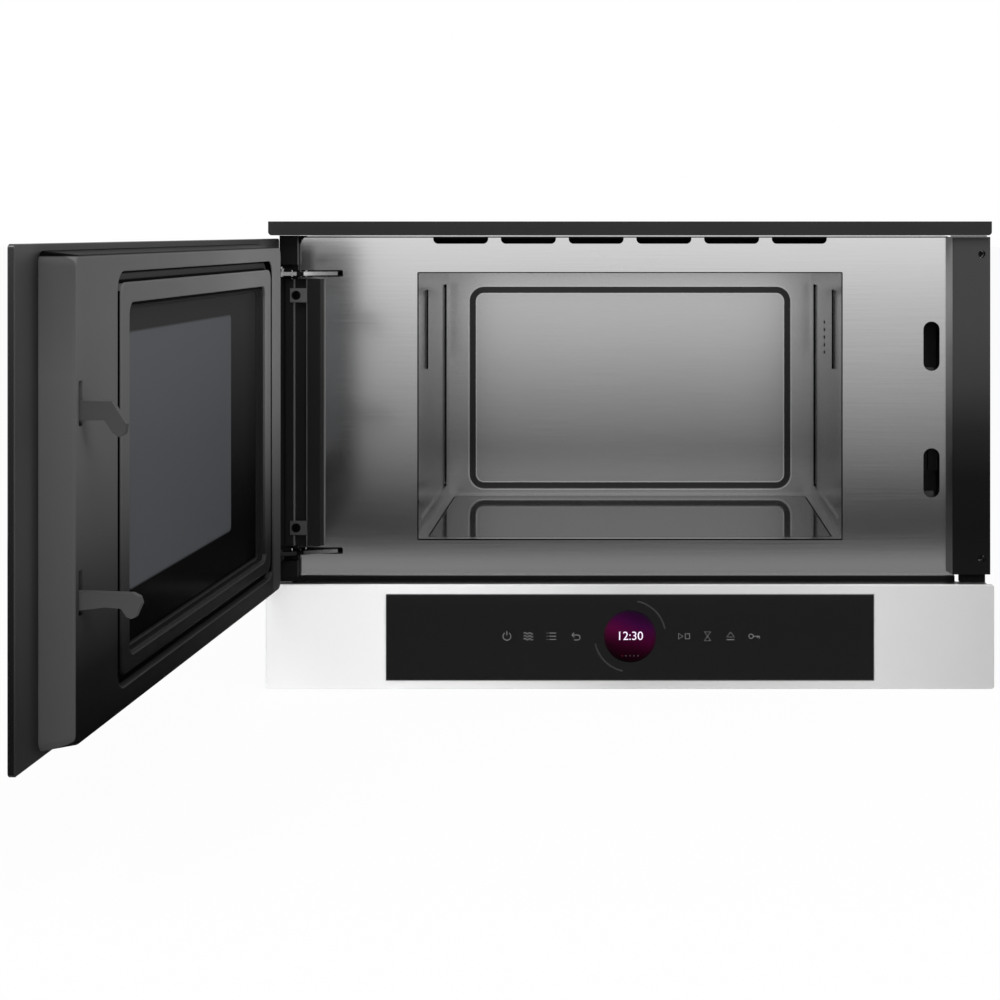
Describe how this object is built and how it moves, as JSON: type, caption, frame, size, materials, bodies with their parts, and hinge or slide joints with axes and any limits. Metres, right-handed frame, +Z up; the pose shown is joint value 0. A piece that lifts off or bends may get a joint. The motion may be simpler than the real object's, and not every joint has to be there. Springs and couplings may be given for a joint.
{
  "type": "built-in microwave",
  "caption": "Built-in microwave with a side-hinged door standing open, a steel cavity with a glass-ceramic floor and a touch control panel below.",
  "frame": {"origin": "on the underside, midway across the front, in the front plane of the furniture that it is built into", "axes": "+X to the user's right, +Y back into the furniture, +Z up; the user faces along +Y"},
  "size_m": [0.6238, 0.8915, 0.382],
  "materials": {
    "zinc_steel": "zinc-coated sheet, dull with a faint spangle",
    "stainless": "brushed stainless steel",
    "bright_steel": "bright plated steel",
    "black_screen": "black painted perforated sheet",
    "black_profile": "black satin painted profile",
    "white_panel": "white satin paint",
    "glass_ceramic": "glossy dark glass-ceramic",
    "black_glass": "glossy black glass",
    "tinted_glass": "glossy tinted glass with a black border",
    "black_plastic": "black, fine satin grain",
    "grey_plastic": "dark grey, satin",
    "white_plastic": "off-white, matt",
    "circuit_board": "green board",
    "display_plastic": "violet and magenta display",
    "sensor_foam": "dark conductive foam",
    "aluminium": "plain aluminium",
    "spring_steel": "drawn wire",
    "copper_winding": "enamelled winding in a moulded former"
  },
  "bodies": {
    "chassis": {"base_plate": "zinc_steel", "outer_cover": "zinc_steel", "rear_panel": "zinc_steel", "cavity_wrapper": "stainless", "cavity_rear_wall": "stainless", "cavity_floor": "stainless", "ceramic_floor": "glass_ceramic", "front_plate": "stainless", "top_bar": "black_profile", "right_column": "black_plastic", "left_column": "black_plastic", "hinge_cover": "black_plastic", "fixing_tabs": "bright_steel", "hinge_arms": "bright_steel", "hinge_pins": "bright_steel", "hinge_housings": "zinc_steel", "fascia_panel": "white_panel", "control_glass": "black_glass", "panel_carrier": "black_plastic", "display_module": "display_plastic", "control_board": "circuit_board", "touch_sensors": "sensor_foam", "interlock_housing": "white_plastic", "catch_motor": "grey_plastic", "microswitches": "grey_plastic", "waveguide": "stainless", "stirrer_bush": "white_plastic", "stirrer_motor": "zinc_steel", "magnetron": "zinc_steel", "fan_frame": "black_plastic", "air_guide": "white_plastic", "inverter_board": "circuit_board", "inverter_transformer": "copper_winding", "heat_sink": "aluminium", "mains_filter": "zinc_steel", "cable_gland": "black_plastic", "cavity_lamp": "grey_plastic", "thermal_cutouts": "white_plastic"},
    "door": {"door_glass": "black_glass", "door_frame": "black_plastic", "choke_frame": "zinc_steel", "window_screen": "black_screen", "inner_pane": "tinted_glass", "choke_cover": "black_plastic", "hinge_leaves": "bright_steel", "latch_spring": "spring_steel"},
    "latch": {"latch_bar": "grey_plastic"},
    "catch": {"door_catch": "white_plastic"},
    "fan": {"fan_impeller": "black_plastic"},
    "stirrer": {"stirrer": "aluminium"}
  },
  "joints": [
    {"name": "door_hinge", "type": "hinge", "parent": "chassis", "child": "door", "pos_m": [-0.286, -0.0107, 0.2245], "axis": [0, 0, 1], "range_deg": [0, 93.3]},
    {"name": "latch_slide", "type": "slide", "parent": "door", "child": "latch", "axis": [0, 0, 1], "range_m": [0, 0.005], "stiffness_N_per_m": 350, "springref_m": -0.005, "deforming": ["latch_spring"]},
    {"name": "catch_slide", "type": "slide", "parent": "chassis", "child": "catch", "axis": [0, 0, 1], "range_m": [0, 0.0095]},
    {"name": "fan_spin", "type": "hinge", "parent": "chassis", "child": "fan", "pos_m": [0.221, 0.2852, 0.162], "axis": [0, 1, 0], "continuous": true},
    {"name": "stirrer_spin", "type": "hinge", "parent": "chassis", "child": "stirrer", "pos_m": [0, 0.1375, 0.105], "axis": [0, 0, 1], "continuous": true}
  ]
}
